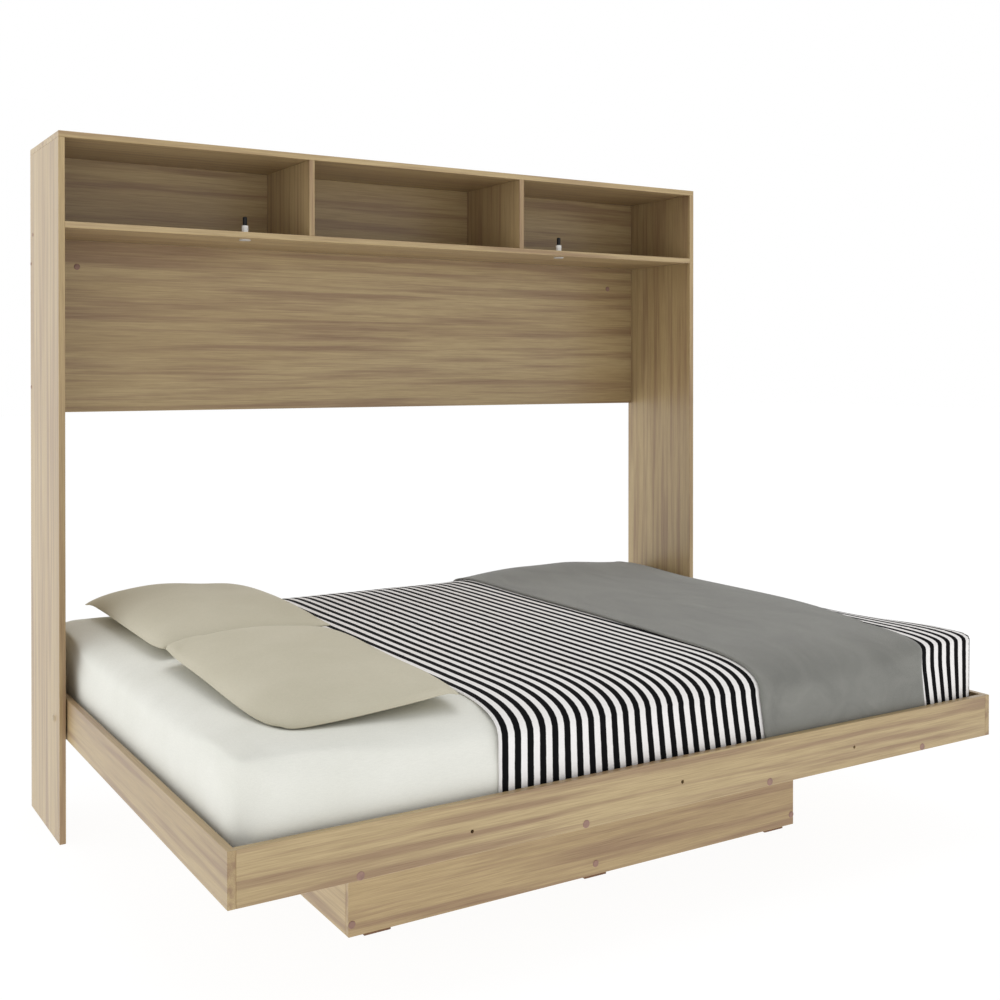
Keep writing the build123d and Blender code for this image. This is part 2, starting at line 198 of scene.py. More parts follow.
# Shader nodes
def srgb(red, green, blue):
    """A colour given as 0 to 255 on screen, as the linear colour that a shader takes."""
    def linear(level):
        share = level / 255
        return share / 12.92 if share <= 0.04045 else ((share + 0.055) / 1.055) ** 2.4

    return (linear(red), linear(green), linear(blue), 1.0)


def new_material(name):
    """A material with its node tree and its surface shader."""
    material = bpy.data.materials.new(name)
    material.use_nodes = True
    tree = material.node_tree
    return material, tree, tree.nodes["Principled BSDF"]


def add(tree, kind, inputs, **settings):
    """A node whose inputs are set to values or linked to sockets."""
    made = tree.nodes.new(kind)
    for key, value in settings.items():
        setattr(made, key, value)
    for key, value in inputs.items():
        if isinstance(value, bpy.types.NodeSocket):
            tree.links.new(value, made.inputs[key])
        else:
            made.inputs[key].default_value = value
    return made


def object_space(tree, scale, offset=(0, 0, 0)):
    """The piece's own coordinates, stretched and shifted."""
    coordinates = add(tree, "ShaderNodeTexCoord", {})
    placed = {"Vector": coordinates.outputs["Object"], "Scale": scale, "Location": offset}
    return add(tree, "ShaderNodeMapping", placed).outputs[0]


def noise_level(tree, place, detail=2.0, roughness=0.5, distortion=0.0):
    """Noise between 0 and 1 at a place."""
    inputs = {"Vector": place, "Scale": 1.0, "Detail": detail}
    inputs.update({"Roughness": roughness, "Distortion": distortion})
    return add(tree, "ShaderNodeTexNoise", inputs).outputs[0]


def even_noise(tree, scale, **settings):
    """Noise with the same scale along every axis of the piece."""
    return noise_level(tree, object_space(tree, (scale, scale, scale)), **settings)


def ramp(tree, level, stops):
    """Colours over a level, from (level, colour) stops."""
    made = add(tree, "ShaderNodeValToRGB", {0: level})
    elements = made.color_ramp.elements
    while len(elements) < len(stops):
        elements.new(0.5)
    for element, (position, colour) in zip(elements, stops):
        element.position = position
        element.color = colour
    return made.outputs[0]


def spread_over(tree, level, low, high, start=0.0, end=1.0):
    """A level from low to high mapped to start to end."""
    inputs = {0: level, 1: low, 2: high, 3: start, 4: end}
    return add(tree, "ShaderNodeMapRange", inputs).outputs[0]


def math_node(tree, operation, first, second=0.0):
    """One sum on two levels."""
    return add(tree, "ShaderNodeMath", {0: first, 1: second}, operation=operation).outputs[0]


def mix(tree, factor, first, second, blend="MIX"):
    """Two colours mixed."""
    settings = {"data_type": "RGBA", "blend_type": blend}
    return add(tree, "ShaderNodeMix", {0: factor, 6: first, 7: second}, **settings).outputs[2]


def bump(tree, height, distance, strength, under=None):
    """A surface normal from a height, on top of another normal if there is one."""
    inputs = {"Height": height, "Distance": distance, "Strength": strength}
    if under is not None:
        inputs["Normal"] = under
    return add(tree, "ShaderNodeBump", inputs).outputs[0]


def link(tree, shader, **sockets):
    """Sockets linked to the surface shader's inputs, by names with _ for a space."""
    for name, socket in sockets.items():
        tree.links.new(socket, shader.inputs[name.replace("_", " ")])


# Materials. Layers of wood: scale of the noise along the grain, and across it.
WHITE = srgb(255, 255, 255)
OAK_LIGHT = srgb(193, 171, 129)
OAK_MIDDLE = srgb(185, 162, 120)
OAK_DARK = srgb(176, 152, 112)
OAK_STREAK = srgb(146, 116, 90)
OAK_FIBRE = srgb(222, 218, 212)
OAK_BROAD_LAYER = (0.6, 8)
OAK_STREAK_LAYER = (1.8, 56)
OAK_LINE_LAYER = (3.5, 190)
OAK_FIBRE_LAYER = (12, 650)
STREAK_OFFSET = 7
STREAK_STRENGTH = 0.70
LINE_OFFSET = 5
LINE_STRENGTH = 0.32
BOARD_OFFSET = 3.7
OFFSET_SHARES = (1.0, 0.7, 1.3)
BEECH_LIGHT = srgb(222, 190, 148)
BEECH_DARK = srgb(196, 160, 118)
BEECH_LAYER = (20, 700)
BEECH_OFFSET = 2.0
FIBRE_DEPTH = 0.0003

# Speckle of plastic and metal
SPECKLE_SCALE = 900
PLATING_SCALE = 400
SPECKLE_DEPTH = 0.0001
WEAR_SCALE = 60
WEAR_SHADE = 0.82

# Cloth: colours, scales of the noise, and depths of the surface in metres
SHEET_SHADE = srgb(228, 228, 219)
SHEET_LIGHT = srgb(235, 235, 227)
PILLOW_SHADE = srgb(198, 192, 171)
PILLOW_LIGHT = srgb(205, 199, 179)
STRIPE_WHITE = srgb(246, 244, 243)
STRIPE_BLACK = srgb(15, 15, 17)
STRIPE_TONE = srgb(249, 248, 247)
# Grey fleece at the shaded and the lit end of its patches of painted light and shade
FLEECE_SHADED = srgb(122, 122, 117)
FLEECE_LIT = srgb(137, 137, 131)
# Painted shade where the pile lies low
PILE_SHADE = srgb(226, 226, 224)
SHEEN_PATCH_SCALES = (9, 3.5, 9)
PILE_SCALE = 900
PILE_DEPTH = 0.0008
COTTON_TONE_SCALE = 5
COTTON_CREASE_SCALE = 14
COTTON_WEAVE = 700
COTTON_CRUMPLE = 0.0006
STRIPE_TONE_SCALE = 6
STRIPE_WOBBLE_SCALE = 60
STRIPE_WEAVE = 800
THREAD_STRETCH = 0.12
THREAD_DEPTH = 0.0002
# Share of the colour left in the painted shade between the threads of a weave
THREAD_SHADE = 0.94


def along_grain(tree, grain, layer, offset):
    """Board coordinates, with one scale along the grain and another across it."""
    along, across = layer
    scale = [along if axis == grain else across for axis in "xyz"]
    return object_space(tree, scale, [share * offset for share in OFFSET_SHARES])


def oak(name, grain, offset):
    """Laminate with an oak print: broad tones, long dark streaks and fine fibres along one axis."""
    material, tree, shader = new_material(name)
    broad = noise_level(tree, along_grain(tree, grain, OAK_BROAD_LAYER, offset), distortion=0.2)
    streak_place = along_grain(tree, grain, OAK_STREAK_LAYER, offset + STREAK_OFFSET)
    streaks = noise_level(tree, streak_place, distortion=0.1)
    line_place = along_grain(tree, grain, OAK_LINE_LAYER, offset + LINE_OFFSET)
    lines = noise_level(tree, line_place, detail=3, distortion=0.2)
    fibres = noise_level(tree, along_grain(tree, grain, OAK_FIBRE_LAYER, offset), detail=3, roughness=0.65)
    bands = ramp(tree, broad, [(0.36, OAK_LIGHT), (0.52, OAK_MIDDLE), (0.68, OAK_DARK)])
    streaked = mix(tree, spread_over(tree, streaks, 0.46, 0.66, 0.0, STREAK_STRENGTH), bands, OAK_STREAK)
    lined = mix(tree, spread_over(tree, lines, 0.52, 0.72, 0.0, LINE_STRENGTH), streaked, OAK_STREAK)
    fibre_tone = ramp(tree, fibres, [(0.30, OAK_FIBRE), (0.68, WHITE)])
    colour = mix(tree, 1.0, lined, fibre_tone, "MULTIPLY")
    roughness = spread_over(tree, fibres, 0.2, 0.8, 0.28, 0.40)
    shader.inputs["Specular IOR Level"].default_value = 0.5
    link(tree, shader, Base_Color=colour, Roughness=roughness, Normal=bump(tree, fibres, FIBRE_DEPTH, 0.5))
    return material


def speckled(name, colour, roughness, scale=SPECKLE_SCALE, metal=0.0):
    """Moulded plastic or plated metal with a fine speckle in colour, gloss and surface."""
    material, tree, shader = new_material(name)
    level = even_noise(tree, scale, detail=3, roughness=0.6)
    wear = even_noise(tree, WEAR_SCALE, detail=4)
    darker = tuple(WEAR_SHADE * part for part in colour[:3]) + (1.0,)
    tone = ramp(tree, wear, [(0.35, darker), (0.62, colour)])
    gloss = spread_over(tree, level, 0.25, 0.75, roughness - 0.06, roughness + 0.08)
    shader.inputs["Metallic"].default_value = metal
    shader.inputs["Specular IOR Level"].default_value = 0.3
    link(tree, shader, Base_Color=tone, Roughness=gloss, Normal=bump(tree, level, SPECKLE_DEPTH, 0.4))
    return material


def beech():
    """Beech for the dowels, with fine fibres along one axis."""
    material, tree, shader = new_material("beech_dowel")
    level = noise_level(tree, along_grain(tree, "y", BEECH_LAYER, BEECH_OFFSET), detail=3)
    colour = ramp(tree, level, [(0.3, BEECH_DARK), (0.7, BEECH_LIGHT)])
    shader.inputs["Roughness"].default_value = 0.6
    link(tree, shader, Base_Color=colour, Normal=bump(tree, level, FIBRE_DEPTH, 0.5))
    return material


def weave_height(tree, scale):
    """A plain weave: uneven threads that cross along and across the bed."""
    slow = THREAD_STRETCH * scale
    long_threads = noise_level(tree, object_space(tree, (slow, scale, scale)))
    cross_threads = noise_level(tree, object_space(tree, (scale, slow, scale)))
    return math_node(tree, "ADD", long_threads, cross_threads)


def woven(tree, colour, threads):
    """A colour with painted shade between the threads, a little darker where the weave lies low."""
    painted_thread_shade = spread_over(tree, threads, 0.7, 1.3, THREAD_SHADE, 1.0)
    return mix(tree, 1.0, colour, painted_thread_shade, "MULTIPLY")


def cotton(name, shade, light):
    """Plain cotton: soft tone changes over the cloth, a fine weave with painted shade between its threads,
    and light crumples.
    """
    material, tree, shader = new_material(name)
    soft = even_noise(tree, COTTON_TONE_SCALE, detail=4, roughness=0.55)
    threads = weave_height(tree, COTTON_WEAVE)
    colour = ramp(tree, soft, [(0.32, shade), (0.66, light)])
    creases = even_noise(tree, COTTON_CREASE_SCALE, detail=5, distortion=0.6)
    creased = bump(tree, creases, COTTON_CRUMPLE, 0.6)
    surface = bump(tree, threads, THREAD_DEPTH, 0.35, creased)
    shader.inputs["Roughness"].default_value = 0.85
    shader.inputs["Specular IOR Level"].default_value = 0.2
    shader.inputs["Sheen Weight"].default_value = 0.05
    link(tree, shader, Base_Color=woven(tree, colour, threads), Normal=surface)
    return material


def past_core(tree, coordinate, middle, half):
    """How far a place lies outside the flat middle of the bed, along one axis."""
    distance = math_node(tree, "ABSOLUTE", math_node(tree, "SUBTRACT", coordinate, middle))
    return math_node(tree, "SUBTRACT", distance, half)


def place_along(tree):
    """Place along the bed on the striped cover: one map down the long sides, another round the foot."""
    stripes = add(tree, "ShaderNodeUVMap", {}, uv_map="stripes")
    maps = add(tree, "ShaderNodeSeparateXYZ", {0: stripes.outputs[0]})
    axes = add(tree, "ShaderNodeSeparateXYZ", {0: object_space(tree, (1, 1, 1))})
    past_foot = past_core(tree, axes.outputs[0], 0.0, core_x)
    past_side = past_core(tree, axes.outputs[1], middle_y, core_y)
    long_side = math_node(tree, "GREATER_THAN", past_side, past_foot)
    return spread_over(tree, long_side, 0.0, 1.0, maps.outputs[1], maps.outputs[0])


def striped_cotton():
    """Black and white stripes woven across the bed, after a white hem."""
    material, tree, shader = new_material("striped_cotton")
    wobble = even_noise(tree, STRIPE_WOBBLE_SCALE)
    shift = spread_over(tree, wobble, 0.0, 1.0, -STRIPE_WOBBLE, STRIPE_WOBBLE)
    first = spread_low.x + STRIPE_HEM * STRIPE_PITCH
    from_first = math_node(tree, "SUBTRACT", math_node(tree, "ADD", place_along(tree), shift), first)
    turns = math_node(tree, "FRACT", math_node(tree, "DIVIDE", from_first, STRIPE_PITCH))
    rising = spread_over(tree, turns, 0.0, STRIPE_FADE)
    falling = spread_over(tree, turns, STRIPE_DARK, STRIPE_DARK + STRIPE_FADE, 1.0, 0.0)
    dark = math_node(tree, "MULTIPLY", rising, falling)
    striped = mix(tree, dark, STRIPE_WHITE, STRIPE_BLACK)
    soft = even_noise(tree, STRIPE_TONE_SCALE, detail=4)
    tone = ramp(tree, soft, [(0.3, STRIPE_TONE), (0.7, WHITE)])
    colour = mix(tree, 1.0, striped, tone, "MULTIPLY")
    threads = weave_height(tree, STRIPE_WEAVE)
    surface = bump(tree, threads, THREAD_DEPTH, 0.4)
    shader.inputs["Roughness"].default_value = 0.9
    shader.inputs["Specular IOR Level"].default_value = 0.08
    # The weave adds painted shade between the threads to the stripes.
    link(tree, shader, Base_Color=woven(tree, colour, threads), Normal=surface)
    return material


def grey_fleece():
    """Short grey pile, with patches of painted light and shade where its brushing would catch the light
    differently, and painted shade low in the pile.
    """
    material, tree, shader = new_material("grey_fleece")
    sheen_patch_place = object_space(tree, SHEEN_PATCH_SCALES)
    painted_sheen_patches = noise_level(tree, sheen_patch_place, detail=5, roughness=0.6, distortion=1.2)
    pile = even_noise(tree, PILE_SCALE, detail=3, roughness=0.7)
    # Painted light and shade: patches lighter or darker where the pile would catch the light differently
    colour = ramp(tree, painted_sheen_patches, [(0.30, FLEECE_SHADED), (0.70, FLEECE_LIT)])
    # Painted shade where the pile lies low
    painted_pile_shade = ramp(tree, pile, [(0.30, PILE_SHADE), (0.70, WHITE)])
    toned = mix(tree, 1.0, colour, painted_pile_shade, "MULTIPLY")
    shader.inputs["Roughness"].default_value = 0.95
    shader.inputs["Sheen Weight"].default_value = 0.25
    shader.inputs["Sheen Roughness"].default_value = 0.5
    link(tree, shader, Base_Color=toned, Normal=bump(tree, pile, PILE_DEPTH, 0.5))
    return material


def dress(node, material):
    """Gives a CAD node its finish."""
    slots = frame["nodes"][node].data.materials
    slots.clear()
    slots.append(material)


OAK_BOARDS = {
    "x": ["top_panel", "shelf_panel", "back_panel", "front_rail", "rear_rail", "plinth_front_panel",
          "left_base_panel", "right_base_panel"],
    "y": ["left_end_rail", "right_end_rail", "plinth_left_web", "plinth_middle_web", "plinth_right_web"],
    "z": ["left_side_panel", "right_side_panel", "left_divider", "right_divider"],
}


def dress_boards():
    """Each board gets its own cut of the oak print."""
    cut = 0
    for grain, boards in OAK_BOARDS.items():
        for node in boards:
            cut += 1
            dress(node, oak("oak_" + node, grain, cut * BOARD_OFFSET))


def dress_hardware():
    """Caps, pivots, latches, brackets and glides."""
    caps = speckled("cap_plastic", srgb(152, 121, 108), 0.42)
    zinc = speckled("zinc_steel", srgb(188, 190, 192), 0.30, PLATING_SCALE, metal=1.0)
    finishes = {
        "left_side_caps": caps, "right_side_caps": caps, "front_rail_caps": caps,
        "rear_rail_caps": caps, "plinth_caps": caps, "corner_brackets": zinc,
        "plinth_glides": speckled("glide_plastic", srgb(120, 88, 62), 0.5),
        "base_dowels": beech(),
    }
    white = speckled("white_plastic", srgb(246, 246, 244), 0.4)
    black = speckled("black_plastic", srgb(9, 9, 10), 0.45)
    plated = speckled("plated_steel", srgb(216, 217, 218), 0.45, PLATING_SCALE, metal=0.4)
    yellow = speckled("yellow_zinc", srgb(196, 180, 154), 0.6, PLATING_SCALE, metal=0.2)
    nylon = speckled("grey_nylon", srgb(150, 152, 152), 0.5)
    paired = {"pivot_bolt": yellow, "pivot_nut": zinc, "pivot_spacer": nylon, "pivot_bush": nylon,
              "latch_sleeve": white, "latch_plate": plated, "latch_knob": black, "latch_pin": zinc}
    for side in ("left_", "right_"):
        finishes.update({side + name: finish for name, finish in paired.items()})
    for node, finish in finishes.items():
        dress(node, finish)
    return caps


# Meshes
def new_piece(name, mesh, material):
    """A smooth piece made from a mesh and put in the scene."""
    piece = bpy.data.objects.new(name, mesh)
    bpy.context.scene.collection.objects.link(piece)
    mesh.materials.append(material)
    mesh.polygons.foreach_set("use_smooth", [True] * len(mesh.polygons))
    return piece


def points_of(mesh):
    """A mesh's points as rows of x, y and z."""
    flat = np.zeros(len(mesh.vertices) * 3)
    mesh.vertices.foreach_get("co", flat)
    return flat.reshape(-1, 3)


def set_points(mesh, points):
    """Moves a mesh's points."""
    mesh.vertices.foreach_set("co", np.asarray(points, np.float32).ravel())
    mesh.update()


def normals_of(mesh):
    """A mesh's point normals as rows of x, y and z."""
    flat = np.zeros(len(mesh.vertices) * 3)
    mesh.vertex_normals.foreach_get("vector", flat)
    return flat.reshape(-1, 3)


def soft_step(level):
    """A step from 0 to 1 with soft ends."""
    level = np.clip(level, 0, 1)
    return level ** 2 * (3 - 2 * level)


def squareness(u, v):
    """How square the bed's edge stays: 1 at the corners, less along the wall, 0 elsewhere."""
    near_u = soft_step((np.abs(u) - core_x + SQUARE_START) / SQUARE_LENGTH)
    near_v = soft_step((np.abs(v) - core_y + SQUARE_START) / SQUARE_LENGTH)
    wall = WALL_SQUARENESS * soft_step((v - core_y + WALL_START) / WALL_LENGTH)
    return 1 - (1 - near_u * near_v) * (1 - wall)


def wall_hump(u, v):
    """Soft roll in the bed covers near the wall."""
    along = soft_step((u - HUMP_HEAD) / HUMP_FADE) * soft_step((HUMP_FOOT - u) / HUMP_FADE)
    return WALL_HUMP * along * np.exp(-(((v - HUMP_MIDDLE) / HUMP_WIDTH) ** 2))


def edge_profile(side, foot_round):
    """Mattress edge from the flat top outwards: distance along it, distance out, fall and share of lift."""
    turn = np.linspace(0, math.pi / 2, EDGE_STEPS)
    out = EDGE_RUN * np.sin(turn) ** (2 / EDGE_POWER)
    lift = 1 - np.cos(turn) ** (2 / EDGE_POWER)
    fall = np.append(EDGE_DROP * lift, EDGE_DROP + side)
    out = np.append(out, EDGE_RUN)
    if foot_round:
        under = np.linspace(0, math.pi / 2, FOOT_ROUND_STEPS)[1:]
        out = np.append(out, EDGE_RUN - foot_round * (1 - np.cos(under)))
        fall = np.append(fall, EDGE_DROP + side + foot_round * np.sin(under))
    lengths = np.hypot(np.diff(out), np.diff(fall))
    lift = np.append(lift, np.zeros(len(out) - len(lift)))
    return np.append(0, np.cumsum(lengths)), out, fall, lift


def round_corner(beyond, ring, out):
    """Place on a rounded corner, from the corner of the core: along the side and back from it."""
    radius = np.minimum(MATTRESS_CORNER, out)
    straight = out - radius
    share = np.divide(beyond, ring, out=np.zeros_like(beyond), where=ring > 0)
    travel = share * (straight + radius * math.pi / 4)
    turn = np.divide(travel - straight, radius, out=np.zeros_like(travel), where=radius > 0)
    turn = np.clip(turn, 0, None)
    along = np.where(travel <= straight, travel, straight + radius * np.sin(turn))
    back = radius * (1 - np.cos(turn))
    return along, out - back


def on_bed(u, v, profile):
    """Points on the made bed for flat cloth coordinates, measured from the middle of the bed."""
    lengths, outs, falls, lifts = profile
    beyond_u = np.maximum(np.abs(u) - core_x, 0)
    beyond_v = np.maximum(np.abs(v) - core_y, 0)
    ring = np.maximum(beyond_u, beyond_v)
    out = np.interp(ring, lengths, outs)
    along, away = round_corner(np.minimum(beyond_u, beyond_v), ring, out)
    sideways = beyond_v >= beyond_u
    x = np.minimum(np.abs(u), core_x) + np.where(sideways, along, away)
    y = np.minimum(np.abs(v), core_y) + np.where(sideways, away, along)
    lift = SQUARE_LIFT * squareness(u, v) * np.interp(ring, lengths, lifts)
    z = mattress_high.z - np.interp(ring, lengths, falls) + lift
    return np.stack([np.sign(u) * x, middle_y + np.sign(v) * y, z], axis=-1)


def grid_mesh(name, points):
    """A sheet of quads through a grid of points."""
    rows, columns = points.shape[:2]
    index = np.arange(rows * columns).reshape(rows, columns)
    corners = [index[:-1, :-1], index[1:, :-1], index[1:, 1:], index[:-1, 1:]]
    faces = np.stack([corner.ravel() for corner in corners], axis=-1)
    mesh = bpy.data.meshes.new(name)
    mesh.from_pydata(points.reshape(-1, 3).tolist(), [], faces.tolist())
    return mesh


def ripple(u, v, scale_u, scale_v, layer):
    """Slow waves in cloth, from 0 to 1."""
    places = zip(u.ravel() * scale_u, v.ravel() * scale_v)
    levels = [noise.noise(Vector((a, b, layer))) for a, b in places]
    return 0.5 + 0.5 * np.array(levels)


def hem_rise(distance):
    """Extra thickness where the hem is turned under."""
    return HEM_RISE * np.clip((HEM_WIDTH - distance) / HEM_FADE, 0, 1)


def smooth(piece):
    """One subdivision, which rounds the quads off."""
    subdivision = piece.modifiers.new("smooth", "SUBSURF")
    subdivision.levels = 1
    subdivision.render_levels = 1


def add_thickness(piece, thickness):
    """Gives a sheet its thickness, outwards."""
    solidify = piece.modifiers.new("cloth", "SOLIDIFY")
    solidify.thickness = thickness
    solidify.offset = 1.0


def simulate(piece, pressure, frames, cap, pinned=()):
    """Inflates a closed cover as cloth, moves no point further than cap, and keeps the result."""
    mesh = piece.data
    start = points_of(mesh)
    cloth = piece.modifiers.new("cloth", "CLOTH")
    settings = cloth.settings
    for key, value in COVER_CLOTH.items():
        setattr(settings, key, value)
    settings.use_pressure = True
    settings.uniform_pressure_force = pressure
    settings.effector_weights.gravity = 0
    if len(pinned):
        group = piece.vertex_groups.new(name="pinned")
        group.add([int(i) for i in pinned], 1.0, "REPLACE")
        settings.vertex_group_mass = group.name
    cloth.point_cache.frame_end = frames
    for step in range(1, frames + 1):
        bpy.context.scene.frame_set(step)
    shown = piece.evaluated_get(bpy.context.evaluated_depsgraph_get())
    moved = points_of(shown.data) - start
    piece.modifiers.remove(cloth)
    bpy.context.scene.frame_set(1)
    length = np.maximum(np.linalg.norm(moved, axis=1, keepdims=True), LEAST_LENGTH)
    set_points(mesh, start + moved * np.minimum(1, cap / length))


# Mattress in its fitted sheet
def mattress_mesh(profile):
    """The mattress as one closed cover: a sheet over the top and sides, and a flat one below."""
    half_u = core_x + profile[0][-1]
    half_v = core_y + profile[0][-1]
    u_line = np.linspace(-half_u, half_u, int(2 * half_u / MATTRESS_STEP))
    v_line = np.linspace(-half_v, half_v, int(2 * half_v / MATTRESS_STEP))
    u, v = np.meshgrid(u_line, v_line, indexing="ij")
    above = grid_mesh("mattress_cover", on_bed(u, v, profile))
    share = np.maximum(np.abs(u) / half_u, np.abs(v) / half_v)
    share = np.maximum(share, LEAST_SHARE)
    middle = np.array([0, middle_y, mattress_low.z])
    rim = on_bed(u / share, v / share, profile)
    below = grid_mesh("mattress_below", middle + (rim - middle) * share[..., None])
    work = bmesh.new()
    work.from_mesh(above)
    work.from_mesh(below)
    bmesh.ops.remove_doubles(work, verts=work.verts[:], dist=MERGE_DISTANCE)
    bmesh.ops.recalc_face_normals(work, faces=work.faces[:])
    work.to_mesh(above)
    work.free()
    return above


def tuck_corners(mesh):
    """Folds the sheet in where it is gathered at the corners of the mattress."""
    points = points_of(mesh)
    beyond_x = np.abs(points[:, 0]) - core_x
    beyond_y = np.abs(points[:, 1] - middle_y) - core_y
    near = np.exp(-(((beyond_x - beyond_y) / TUCK_WIDTH) ** 2))
    low = np.clip((mattress_high.z - EDGE_DROP / 2 - points[:, 2]) / EDGE_DROP, 0, 1)
    set_points(mesh, points - normals_of(mesh) * (TUCK_DEPTH * near * low)[:, None])


def make_mattress():
    """Mattress in a smooth fitted sheet, a little swollen between its edges."""
    side = mattress_high.z - mattress_low.z - EDGE_DROP - MATTRESS_FOOT_ROUND
    mesh = mattress_mesh(edge_profile(side, MATTRESS_FOOT_ROUND))
    piece = new_piece("mattress_cover", mesh, cotton("mattress_cotton", SHEET_SHADE, SHEET_LIGHT))
    points = points_of(mesh)
    low = np.flatnonzero(points[:, 2] < mattress_low.z + MATTRESS_FOOT_ROUND)
    set_points(mesh, points - MATTRESS_SHRINK * normals_of(mesh))
    simulate(piece, MATTRESS_PRESSURE, MATTRESS_FRAMES, MATTRESS_SWELL, pinned=low)
    tuck_corners(mesh)
    smooth(piece)
    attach(piece, "bed")
    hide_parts("mattress")


# Bedspread and throw
def cloth_profile(hem_z):
    """The mattress edge down to a hem."""
    return edge_profile(mattress_high.z - EDGE_DROP - hem_z, 0)


def flat_u(x, profile):
    """Flat cloth coordinate of a place x on top of the bed."""
    beyond = max(x - core_x, 0)
    return min(x, core_x) + float(np.interp(beyond, profile[1], profile[0]))


def lift_cloth(mesh, lift):
    """Lifts a sheet off the mattress by a distance for each point, and slants it where it hangs."""
    points = points_of(mesh) + normals_of(mesh) * lift[:, None]
    hang = np.maximum(mattress_high.z - EDGE_DROP - points[:, 2], 0)
    from_head = soft_step((points[:, 0] - spread_low.x) / SKEW_HEAD_FADE)
    from_foot = soft_step((mattress_high.x - points[:, 0]) / SKEW_FOOT_FADE)
    points[:, 0] += HANG_SKEW * from_head * from_foot * hang
    set_points(mesh, points)


def lay_stripes(mesh, u, v, profile):
    """Places along the bed as a UV map: U for stripes that run straight down the long sides, V for stripes
    level round the foot, as in a cover sewn at the corners. They bend a little where they meet."""
    x = points_of(mesh)[:, 0]
    beyond_u = np.maximum(u - core_x, 0)
    beyond_v = np.maximum(np.abs(v) - core_y, 0)
    ring = np.maximum(beyond_u, beyond_v)
    out = np.interp(ring, profile[0], profile[1])
    share = np.divide(beyond_v, ring, out=np.zeros_like(ring), where=ring > 0)
    slack = np.minimum(ring - out, STRIPE_SLACK) * share ** 2
    round_foot = u - np.where(beyond_u > 0, core_x + out - x + slack, 0)
    corners = np.zeros(len(mesh.loops), np.int32)
    mesh.loops.foreach_get("vertex_index", corners)
    places = np.stack([x, round_foot], axis=-1)[corners]
    mesh.uv_layers.new(name="stripes").data.foreach_set("uv", places.astype(np.float32).ravel())


def make_spread():
    """Striped bedspread from the pillows to the foot, tucked into the frame on three sides."""
    profile = cloth_profile(spread_low.z)
    reach = profile[0][-1]
    hem = spread_low.x
    u_line = np.linspace(hem, core_x + reach, int((core_x + reach - hem) / SPREAD_STEP))
    half_v = core_y + reach
    v_line = np.linspace(-half_v, half_v, int(2 * half_v / SPREAD_STEP))
    u, v = np.meshgrid(u_line, v_line, indexing="ij")
    mesh = grid_mesh("striped_spread", on_bed(u, v, profile))
    lay_stripes(mesh, u.ravel(), v.ravel(), profile)
    waves = SPREAD_RIPPLE * ripple(u, v, *SPREAD_WAVES) + wall_hump(u, v).ravel()
    lift_cloth(mesh, SPREAD_LIFT + waves + hem_rise(u.ravel() - hem))
    piece = new_piece("striped_spread", mesh, striped_cotton())
    add_thickness(piece, SPREAD_CLOTH)
    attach(piece, "bed")
    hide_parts("bedspread")


def make_throw():
    """Grey fleece throw across the bed over the spread, wider towards the wall."""
    profile = cloth_profile(throw_low.z)
    reach = profile[0][-1]
    half_v = core_y + reach
    head = flat_u(THROW_HEAD, profile)
    foot = flat_u(THROW_FOOT, profile)
    across = np.linspace(0, 1, int((foot - head) / THROW_STEP))
    v_line = np.linspace(-half_v, half_v, int(2 * half_v / THROW_STEP))
    share, v = np.meshgrid(across, v_line, indexing="ij")
    sway = soft_step(((v + half_v) / (2 * half_v) - SWAY_START) / SWAY_LENGTH)
    left = head + THROW_SWAY_HEAD * sway
    right = foot + THROW_SWAY_FOOT * sway
    u = left + (right - left) * share
    mesh = grid_mesh("grey_throw", on_bed(u, v, profile))
    waves = THROW_RIPPLE * ripple(u, v, *THROW_WAVES) + wall_hump(u, v).ravel()
    edge = np.minimum(u - left, right - u)
    lift_cloth(mesh, THROW_LIFT + waves + hem_rise(edge.ravel()))
    piece = new_piece("grey_throw", mesh, grey_fleece())
    add_thickness(piece, THROW_CLOTH)
    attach(piece, "bed")
    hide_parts("throw")


# Pillows
def pillow_faces(shape):
    """Upper and lower face of a pillow as grids of points, with the sides drawn in between the corners."""
    rows = int(shape["length"] / PILLOW_STEP)
    columns = int(shape["width"] / PILLOW_STEP)
    y, x = np.meshgrid(np.linspace(-1, 1, rows), np.linspace(-1, 1, columns), indexing="ij")
    crown = np.sqrt((1 - np.abs(x) ** PILLOW_POWER) * (1 - np.abs(y) ** PILLOW_POWER))
    waves = ripple(x, y, PILLOW_WAVES, PILLOW_WAVES, shape["layer"]).reshape(x.shape)
    uneven = 1 + PILLOW_UNEVEN * (waves - 0.5)
    across = x * (1 - PILLOW_DRAW * (1 - y ** 2)) * shape["width"] / 2
    along = y * (1 - PILLOW_DRAW * (1 - x ** 2)) * shape["length"] / 2
    seam = shape["lean"] * ((1 + y) / 2) ** PILLOW_LEAN_POWER
    for side_x, side_y, inset, hang in shape["corners"]:
        near = (1 + side_x * x) * (1 + side_y * y) / 4
        across = across - side_x * inset * near ** CORNER_INSET_POWER
        along = along - side_y * inset * near ** CORNER_INSET_POWER
        seam = seam - hang * near ** CORNER_HANG_POWER
    heights = (seam + shape["rise"] * crown * uneven, seam - shape["fall"] * crown)
    return [np.stack([across, along, height], axis=-1) for height in heights]


def pillow_mesh(name, shape):
    """A filled pillow cover: two faces sewn together round the edge."""
    work = bmesh.new()
    for spots in pillow_faces(shape):
        made = [[work.verts.new(spot) for spot in row] for row in spots.tolist()]
        for row, above in zip(made, made[1:]):
            for column in range(len(row) - 1):
                work.faces.new((row[column], row[column + 1], above[column + 1], above[column]))
    bmesh.ops.remove_doubles(work, verts=work.verts[:], dist=MERGE_DISTANCE)
    bmesh.ops.recalc_face_normals(work, faces=work.faces[:])
    mesh = bpy.data.meshes.new(name)
    work.to_mesh(mesh)
    work.free()
    return mesh


